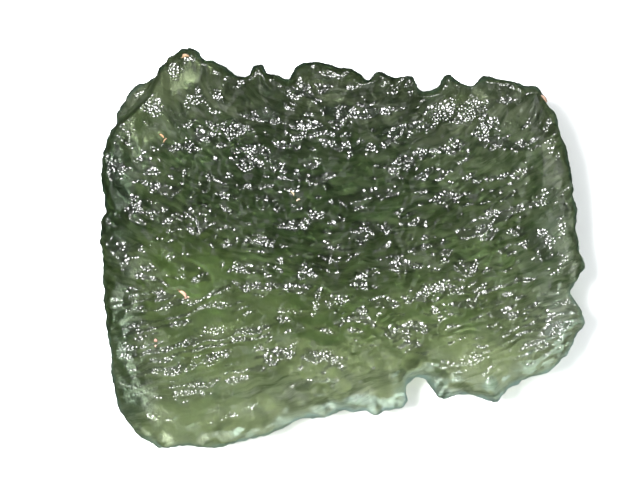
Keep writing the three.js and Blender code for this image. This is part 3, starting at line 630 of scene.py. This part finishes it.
def stone_plan():
    """Points of the upper face seen from above, their distances to the outline and the ways from it."""
    coarse = blended_grid(COARSE_ROWS, COARSE_COLUMNS)
    relax(coarse, COARSE_SWEEPS)
    fine = finer_grid(coarse)
    outline = np.concatenate([fine[0, :-1], fine[:-1, -1], fine[-1, :0:-1], fine[:0:-1, 0]])
    plan = with_rim_points(fine)
    plan = with_rim_points(plan.transpose(1, 0, 2)).transpose(1, 0, 2)
    return plan, *edge_distances(plan, outline)


def stone_faces(rows, columns):
    """Quads of the upper face, and the faces of the underside."""
    upper = np.arange(rows * columns).reshape(rows, columns)
    lower = upper.copy()
    inner = lower[EVERY_SECOND]
    inner[...] = upper.size + np.arange(inner.size).reshape(inner.shape)
    quads = np.stack([upper[:-1, :-1], upper[:-1, 1:], upper[1:, 1:], upper[1:, :-1]], -1)
    return quads.reshape(-1, 4).tolist() + lower_faces(upper, lower)


def skin_tone(x, y):
    """1 where the skin is palest, -1 where the left wall gets painted shade."""
    _, inside = basins(x, y)
    pale = np.maximum(share_of(PALE_PLACES, x, y), inside)
    return pale - DEEP_SHARE * share_of(DEEP_PLACES, x, y) - share_of(WALL_SHADE_PLACES, x, y)


def add_skin(mesh, points, edges, top):
    """Stores on each point what the glass material needs to know about the skin there."""
    rows, columns, _ = top.shape
    x, y, _ = top.reshape(-1, 3).T
    underside = len(points) - len(x)
    normal = upper_normals(points, rows, columns)
    smooth = share_of(SMOOTH_PLACES, x, y)
    # painted shade: flanks tilted towards +Y are darkened, less in smooth places and near the outline
    painted_flank_shade = smooth_step(*FLANK_SHADE_TILT, normal[:, 1]) * (1 - 0.7 * smooth)
    painted_flank_shade = painted_flank_shade * smooth_step(*FLANK_SHADE_INSIDE, edges[:len(x)])
    tilt = math.radians(PITTED_TILT)
    facing = normal[:, 1] * math.sin(tilt) + normal[:, 2] * math.cos(tilt)
    none, full = np.cos(np.radians(PITTED_FADE))
    _, covered = striae(x, y)
    pitted = smooth_step(none, full, facing) * (1 + ROWS_PITTED * np.clip(covered, 0, 1))
    for name, above, below in (
        ("smooth_skin", smooth, UNDERSIDE_SMOOTH),
        ("flank_shade", painted_flank_shade, UNDERSIDE_FLANK_SHADE),
        ("pitted_skin", pitted, UNDERSIDE_PITTED),
    ):
        set_skin(mesh, name, "FLOAT", "value", np.concatenate([above, np.full(underside, below)]))

    x, y, z = points.T
    set_skin(mesh, "skin_tone", "FLOAT", "value", skin_tone(x, y))
    # band along the outline that carries the painted reflection and the painted shade line
    set_skin(mesh, "edge_reflection_and_shade", "FLOAT", "value", np.exp(-((edges / EDGE_LIGHT_WIDTH) ** 2)))
    along = x * STREAK_WIDTH / STREAK_LENGTH
    across = flow(x, y) + 0.25 * noise(x, y, 1.3, 15)
    set_skin(mesh, "streak_place", "FLOAT_VECTOR", "vector", np.stack([along, across, 0.3 * z], 1))


def add_stone():
    plan, edge, inward = stone_plan()
    x, y = plan[..., 0], plan[..., 1]
    height = upper_height(x, y, edge)
    top = np.stack([x, y, height], -1)
    under = np.stack([x, y, lower_height(x, y, edge, height)], -1)[EVERY_SECOND]
    points = np.vstack([top.reshape(-1, 3), under.reshape(-1, 3)])
    edges = np.concatenate([edge.ravel(), edge[EVERY_SECOND].ravel()])
    ways = np.vstack([inward.reshape(-1, 2), inward[EVERY_SECOND].reshape(-1, 2)])
    scooped_sides(points, edges, ways)
    low, high = points.min(0), points.max(0)
    points -= [(low[0] + high[0]) / 2, (low[1] + high[1]) / 2, low[2]]

    mesh = bpy.data.meshes.new("tektite_stone")
    mesh.from_pydata(points * MM, [], stone_faces(*edge.shape))
    mesh.validate()
    mesh.polygons.foreach_set("use_smooth", [True] * len(mesh.polygons))
    add_skin(mesh, points, edges, top)
    stone = bpy.data.objects.new("tektite_stone", mesh)
    bpy.context.collection.objects.link(stone)
    return stone


def new_material(name):
    material = bpy.data.materials.new(name)
    material.use_nodes = True
    tree = material.node_tree
    tree.nodes.clear()
    output = tree.nodes.new("ShaderNodeOutputMaterial")
    shader = tree.nodes.new("ShaderNodeBsdfPrincipled")
    tree.links.new(shader.outputs["BSDF"], output.inputs["Surface"])
    return material, tree, shader, output


def noise_node(tree, scale, detail, coords):
    node = tree.nodes.new("ShaderNodeTexNoise")
    node.inputs["Scale"].default_value = scale
    node.inputs["Detail"].default_value = detail
    tree.links.new(coords, node.inputs["Vector"])
    return node.outputs["Fac"]


def mapped(tree, value, from_low, from_high, to_low, to_high):
    node = tree.nodes.new("ShaderNodeMapRange")
    node.inputs["From Min"].default_value = from_low
    node.inputs["From Max"].default_value = from_high
    node.inputs["To Min"].default_value = to_low
    node.inputs["To Max"].default_value = to_high
    tree.links.new(value, node.inputs["Value"])
    return node.outputs["Result"]


def hummocks(tree, scale, coords):
    """Height of small round bumps side by side."""
    cells = tree.nodes.new("ShaderNodeTexVoronoi")
    cells.inputs["Scale"].default_value = scale
    tree.links.new(coords, cells.inputs["Vector"])
    square = tree.nodes.new("ShaderNodeMath")
    square.operation = "POWER"
    square.inputs[1].default_value = 2
    tree.links.new(cells.outputs["Distance"], square.inputs[0])
    return mapped(tree, square.outputs["Value"], 0, 1, 1, 0)


def bump(tree, height, distance, share, normal=None):
    """A bump of this depth, scaled by a share that is a number or an output."""
    node = tree.nodes.new("ShaderNodeBump")
    node.inputs["Distance"].default_value = distance
    if isinstance(share, float):
        node.inputs["Strength"].default_value = share
    else:
        tree.links.new(share, node.inputs["Strength"])
    tree.links.new(height, node.inputs["Height"])
    if normal is not None:
        tree.links.new(normal, node.inputs["Normal"])
    return node.outputs["Normal"]


# glass
GLASS_IOR = 1.49
GLASS_TRANSMISSION = 0.997
ABSORPTION_COLOR = (0.48, 0.562, 0.34, 1)
ABSORPTION_DENSITY = 275       # per metre
ROUGHEST = 0.3
SMOOTHEST = 0.275

# colours that the skin gives to the light that passes it
DEEP_PATINA = (0.17, 0.205, 0.145, 1)
PALE_PATINA = (1.0, 1.0, 0.9, 1)
OLIVE_PATINA = (0.95, 1.0, 0.7, 1)
# painted shade of the left wall, grey-blue
WALL_SHADE_COLOR = (0.27, 0.34, 0.32, 1)
# painted shade on flanks tilted towards +Y
FLANK_SHADE_COLOR = (0.06, 0.065, 0.065, 1)
# painted reflection: a pale grey-blue along the outline
EDGE_REFLECTION_COLOR = (0.66, 0.86, 0.92, 1)
# painted shade: a dark grey-blue line at the very outline
RIM_SHADE_COLOR = (0.32, 0.48, 0.55, 1)
TONE_SHIFT = 0.09              # how far a pale place lifts the streaks
PATCHES_PER_METRE = 700

# bumps of the skin
RIB_DEPTH = 0.05 * MM
COARSE_PER_METRE = 2600
COARSE_DEPTH = 0.04 * MM
HUMMOCKS_PER_METRE = 5300
HUMMOCK_DEPTH = 0.066 * MM


def mixed_color(tree, share, first, second):
    """First colour to second by a share, each colour being plain or an output."""
    mix = tree.nodes.new("ShaderNodeMix")
    mix.data_type = "RGBA"
    for socket, color in (("A", first), ("B", second)):
        if isinstance(color, tuple):
            mix.inputs[socket].default_value = color
        else:
            tree.links.new(color, mix.inputs[socket])
    tree.links.new(share, mix.inputs["Factor"])
    return mix.outputs["Result"]


def skin_attribute(tree, name, output):
    node = tree.nodes.new("ShaderNodeAttribute")
    node.attribute_name = name
    return node.outputs[output]


def skin_streaks(tree, tone):
    """From 0 in the dark streaks of the skin to 1 in the pale ones."""
    place = skin_attribute(tree, "streak_place", "Vector")
    toned = tree.nodes.new("ShaderNodeMath")
    toned.operation = "MULTIPLY_ADD"
    toned.inputs[1].default_value = TONE_SHIFT
    tree.links.new(tone, toned.inputs[0])
    tree.links.new(noise_node(tree, 0.8 / STREAK_WIDTH, 2, place), toned.inputs[2])
    return mapped(tree, toned.outputs["Value"], 0.37, 0.63, 0, 1)


def skin_color(tree, coords):
    tone = skin_attribute(tree, "skin_tone", "Fac")
    flank_shade_share = skin_attribute(tree, "flank_shade", "Fac")
    line = skin_attribute(tree, "edge_reflection_and_shade", "Fac")
    patches = noise_node(tree, PATCHES_PER_METRE, 3, coords)
    streaked = mixed_color(tree, skin_streaks(tree, tone), DEEP_PATINA, PALE_PATINA)
    spotted = mixed_color(tree, mapped(tree, patches, 0.35, 0.65, 1, 0.7), DEEP_PATINA, OLIVE_PATINA)
    color = mixed_color(tree, mapped(tree, tone, 0, 1, 0, 0.85), streaked, spotted)
    # painted shade: grey-blue darkening of the left wall, and at about half share in the deep places
    color = mixed_color(tree, mapped(tree, tone, 0, -1, 0, 0.9), color, WALL_SHADE_COLOR)
    color = mixed_color(tree, mapped(tree, patches, 0.44, 0.64, 0, 0.4), color, DEEP_PATINA)
    # painted shade on flanks tilted towards +Y
    color = mixed_color(tree, mapped(tree, flank_shade_share, 0, 1, 0, 0.9), color, FLANK_SHADE_COLOR)
    # painted reflection along the outline, then a painted dark shade line at its outer part
    color = mixed_color(tree, mapped(tree, line, 0, 1, 0, 0.8), color, EDGE_REFLECTION_COLOR)
    return mixed_color(tree, mapped(tree, line, 0.5, 0.9, 0, 0.8), color, RIM_SHADE_COLOR)


def skin_normal(tree, coords):
    """Ribs along the streaks, a coarse grain that smooth places lack, and hummocks that glitter."""
    place = skin_attribute(tree, "streak_place", "Vector")
    ribs = bump(tree, noise_node(tree, 0.8 / STREAK_WIDTH, 1, place), RIB_DEPTH, 0.8)
    rough = mapped(tree, skin_attribute(tree, "smooth_skin", "Fac"), 0, 1, 1, 0.2)
    coarse = bump(tree, noise_node(tree, COARSE_PER_METRE, 2, coords), COARSE_DEPTH, rough, ribs)
    pitted = skin_attribute(tree, "pitted_skin", "Fac")
    share = mapped(tree, pitted, 0, 1 + ROWS_PITTED, 0.3, 1.2)
    return bump(tree, hummocks(tree, HUMMOCKS_PER_METRE, coords), HUMMOCK_DEPTH, share, coarse)


def glass_material():
    material, tree, shader, output = new_material("tektite_glass")
    coords = tree.nodes.new("ShaderNodeTexCoord").outputs["Object"]
    shader.inputs["IOR"].default_value = GLASS_IOR
    shader.inputs["Transmission Weight"].default_value = GLASS_TRANSMISSION
    tree.links.new(skin_color(tree, coords), shader.inputs["Base Color"])
    rough = mapped(tree, noise_node(tree, 1500, 4, coords), 0.3, 0.7, SMOOTHEST, ROUGHEST)
    tree.links.new(rough, shader.inputs["Roughness"])
    tree.links.new(skin_normal(tree, coords), shader.inputs["Normal"])
    absorption = tree.nodes.new("ShaderNodeVolumeAbsorption")
    absorption.inputs["Color"].default_value = ABSORPTION_COLOR
    absorption.inputs["Density"].default_value = ABSORPTION_DENSITY
    tree.links.new(absorption.outputs["Volume"], output.inputs["Volume"])
    return material


# flakes of dirt: place, length, width, turn in degrees, colour
DIRT = [
    ((-9.85, -2.6), 0.75, 0.2, -40, (0.50, 0.30, 0.22)),
    ((-9.55, -2.9), 0.3, 0.16, 20, (0.55, 0.38, 0.30)),
    ((-11.47, -5.53), 0.2, 0.17, 0, (0.52, 0.27, 0.22)),
    ((-11.45, -5.85), 0.16, 0.12, 60, (0.50, 0.33, 0.27)),
    ((-11.05, 6.95), 0.42, 0.11, -40, (0.36, 0.20, 0.10)),
    ((-10.85, 6.7), 0.3, 0.1, 50, (0.34, 0.21, 0.12)),
    ((-9.6, 11.75), 0.45, 0.2, 10, (0.26, 0.17, 0.09)),
    ((-3.1, 3.45), 0.36, 0.12, -55, (0.42, 0.36, 0.25)),
    ((-2.75, 3.05), 0.26, 0.12, 30, (0.45, 0.38, 0.27)),
    ((12.3, 9.3), 0.6, 0.16, -50, (0.22, 0.14, 0.10)),
]
DIRT_THICKNESS = 0.14
DIRT_NEAR = 0.14               # a flake lies on the highest point of the skin this close to it
DARK_DIRT = (0.20, 0.12, 0.07, 1)


def add_dirt(stone):
    """Small lumpy flakes of dirt, sunk a little into the skin of the stone."""
    skin = np.empty(len(stone.data.vertices) * 3)
    stone.data.vertices.foreach_get("co", skin)
    skin = skin.reshape(-1, 3) / MM
    flakes = bmesh.new()
    color = flakes.verts.layers.float_color.new("dirt_color")
    for number, ((x, y), length, width, turn, tint) in enumerate(DIRT):
        near = np.hypot(skin[:, 0] - x, skin[:, 1] - y) < DIRT_NEAR
        level = skin[near, 2].max()
        made = bmesh.ops.create_icosphere(flakes, subdivisions=3, radius=0.5)["verts"]
        ball = np.array([vert.co for vert in made])
        across = 2.2 * ball[:, 0] + number
        up = 2.2 * ball[:, 1] + 1.7 * ball[:, 2]
        lumps = 1 + 0.5 * noise(across, up, 0.6, 61)
        ball = ball * lumps[:, None] * (length, width, DIRT_THICKNESS)
        ball[:, 1] += 0.3 * width * np.cos(4 * ball[:, 0] / length)
        angle = math.radians(turn)
        across = ball[:, 0] * math.cos(angle) - ball[:, 1] * math.sin(angle)
        up = ball[:, 0] * math.sin(angle) + ball[:, 1] * math.cos(angle)
        for vert, dx, dy, dz in zip(made, across, up, ball[:, 2]):
            vert.co = (MM * (x + dx), MM * (y + dy), MM * (level + dz))
            vert[color] = (*tint, 1)
    mesh = bpy.data.meshes.new("dirt_specks")
    flakes.to_mesh(mesh)
    flakes.free()
    mesh.polygons.foreach_set("use_smooth", [True] * len(mesh.polygons))
    dirt = bpy.data.objects.new("dirt_specks", mesh)
    bpy.context.collection.objects.link(dirt)
    return dirt


def dirt_material():
    material, tree, shader, _ = new_material("dirt")
    coords = tree.nodes.new("ShaderNodeTexCoord").outputs["Object"]
    tint = skin_attribute(tree, "dirt_color", "Color")
    share = mapped(tree, noise_node(tree, 9000, 4, coords), 0.4, 0.7, 0, 0.6)
    tree.links.new(mixed_color(tree, share, tint, DARK_DIRT), shader.inputs["Base Color"])
    rough = mapped(tree, noise_node(tree, 6000, 2, coords), 0.3, 0.7, 0.6, 0.9)
    tree.links.new(rough, shader.inputs["Roughness"])
    relief = bump(tree, noise_node(tree, 12000, 3, coords), 0.03 * MM, 0.8)
    tree.links.new(relief, shader.inputs["Normal"])
    return material


FLOOR_HALF = 0.6               # metres
FLOOR_DROP = 0.03 * MM         # keeps the floor clear of the flat patches the stone rests on
FLOOR_COLOR = (0.86, 0.87, 0.87, 1)
SKY_COLOR = (0.96, 0.98, 1.0, 1)
SKY_STRENGTH = 1.2


def add_floor():
    mesh = bpy.data.meshes.new("floor")
    corners = [(-1, -1), (1, -1), (1, 1), (-1, 1)]
    points = [(FLOOR_HALF * x, FLOOR_HALF * y, -FLOOR_DROP) for x, y in corners]
    mesh.from_pydata(points, [], [(0, 1, 2, 3)])
    floor = bpy.data.objects.new("floor", mesh)
    bpy.context.collection.objects.link(floor)
    material, _, shader, _ = new_material("floor")
    shader.inputs["Base Color"].default_value = FLOOR_COLOR
    shader.inputs["Roughness"].default_value = 0.9
    floor.data.materials.append(material)
    floor.visible_glossy = False


def add_softbox(name, place, width, height, energy, mirrored):
    """A softbox aimed at the stone, either mirrored in its skin or lighting the floor."""
    data = bpy.data.lights.new(name, "AREA")
    data.shape = "RECTANGLE"
    data.size = width
    data.size_y = height
    data.energy = energy
    light = bpy.data.objects.new(name, data)
    light.location = place
    light.rotation_euler = (-Vector(place)).to_track_quat("-Z", "Y").to_euler()
    light.visible_glossy = mirrored
    light.visible_diffuse = not mirrored
    light.visible_transmission = False
    bpy.context.collection.objects.link(light)


def add_light():
    """The key light and the sky light the floor, and the skin mirrors the other two."""
    add_softbox("key_left", (-0.14, 0.035, 0.29), 0.11, 0.11, 3.1, False)
    add_softbox("lamp_above", (0.0, 0.26, 0.22), 0.06, 0.05, 6.0, True)
    add_softbox("sheen_below", (0.0, -0.22, 0.28), 0.25, 0.25, 0.5, True)
    world = bpy.data.worlds.new("studio")
    bpy.context.scene.world = world
    world.use_nodes = True
    back = world.node_tree.nodes["Background"]
    back.inputs["Color"].default_value = SKY_COLOR
    back.inputs["Strength"].default_value = SKY_STRENGTH
    world.cycles_visibility.glossy = False
    world.cycles.sampling_method = "NONE"


def set_picture():
    scene = bpy.context.scene
    scene.view_settings.view_transform = "Standard"
    scene.cycles.max_bounces = 16
    scene.cycles.transmission_bounces = 14
    scene.cycles.sample_clamp_indirect = 4
    scene.cycles.use_denoising = True


stone = add_stone()
stone.data.materials.append(glass_material())
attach(stone, "root")
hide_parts("tektite")
dirt = add_dirt(stone)
dirt.data.materials.append(dirt_material())
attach(dirt, "root")
add_floor()
add_light()
set_picture()
